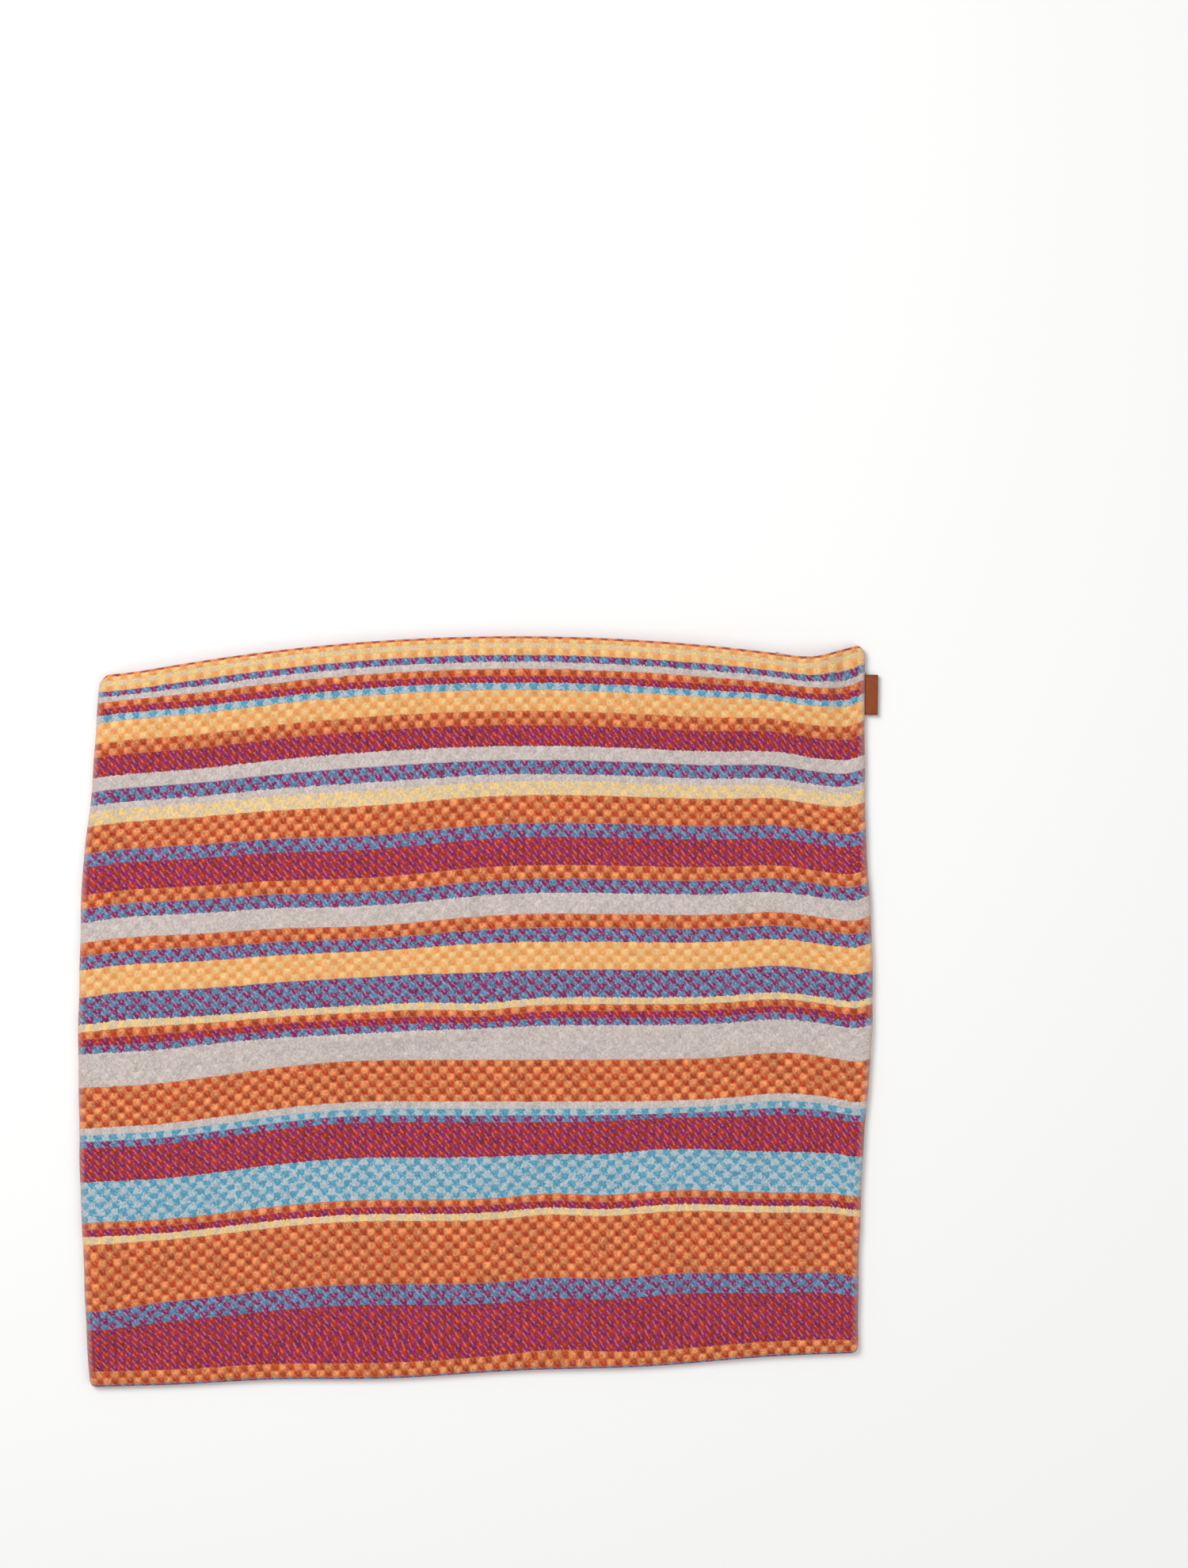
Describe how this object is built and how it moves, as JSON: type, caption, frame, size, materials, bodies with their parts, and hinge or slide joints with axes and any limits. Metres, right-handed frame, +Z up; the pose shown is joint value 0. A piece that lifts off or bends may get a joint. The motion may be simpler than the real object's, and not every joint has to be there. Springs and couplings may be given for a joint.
{
  "type": "zipped cushion cover",
  "caption": "Flat, empty square cushion cover in striped brushed wool, seamed on three sides, with a concealed zip and teardrop pull in the fourth and a folded leather tag.",
  "frame": {"origin": "the resting surface, under the middle of the cover, on the face panel's underside", "axes": "+X along the zip towards the label, +Y towards the zip edge, +Z up out of the reverse panel"},
  "size_m": [0.6262, 0.5685, 0.0152],
  "materials": {
    "reverse_wool": "brushed woven wool, narrow stripes of small two-colour checks",
    "face_wool": "brushed woven wool, wide stripes of small two-colour checks",
    "zip_tape": "fine woven polyester tape, beige",
    "zip_coil": "nylon coil, beige",
    "zip_metal": "beige lacquered metal",
    "zip_pull": "satin brass with worn edges",
    "thread": "twisted polyester thread",
    "overlock": "textured overlock thread",
    "leather": "tan leather with raw cut edges"
  },
  "bodies": {
    "cover": {"face_panel": "face_wool", "reverse_panel": "reverse_wool", "zip_tape_face": "zip_tape", "zip_coil_face": "zip_coil", "zip_top_stop_face": "zip_metal", "zip_stitching_face": "thread", "overlock_zip_face": "overlock", "zip_tape_reverse": "zip_tape", "zip_coil_reverse": "zip_coil", "zip_top_stop_reverse": "zip_metal", "zip_stitching_reverse": "thread", "overlock_zip_reverse": "overlock", "zip_bottom_stop": "zip_metal", "bar_tack_closed_end": "thread", "bar_tack_open_end": "thread", "seam_thread_right": "thread", "seam_thread_left": "thread", "seam_thread_foot": "thread", "seam_thread_head_left": "thread", "seam_thread_head_right": "thread", "overlock_right": "overlock", "overlock_left": "overlock", "overlock_foot": "overlock", "label_root": "leather"},
    "slider": {"zip_slider": "zip_metal"},
    "pull": {"zip_pull": "zip_pull"},
    "label": {"label_tab": "leather"}
  },
  "joints": [
    {"name": "zip_travel", "type": "hinge", "parent": "cover", "child": "slider", "pos_m": [-0.01, -1.237, 0.0076], "axis": [0, 0, 1], "range_deg": [0, 17.55]},
    {"name": "pull_swing", "type": "hinge", "parent": "slider", "child": "pull", "pos_m": [0.23974, 0.2667, 0.0076], "axis": [0, 0, -1], "range_deg": [0, 170]},
    {"name": "label_flap", "type": "hinge", "parent": "cover", "child": "label", "pos_m": [0.30884, 0.2335, 0.0038], "axis": [-0.0399, -0.9992, 0], "range_deg": [-15, 90], "stiffness_Nm_per_rad": 0.002}
  ]
}
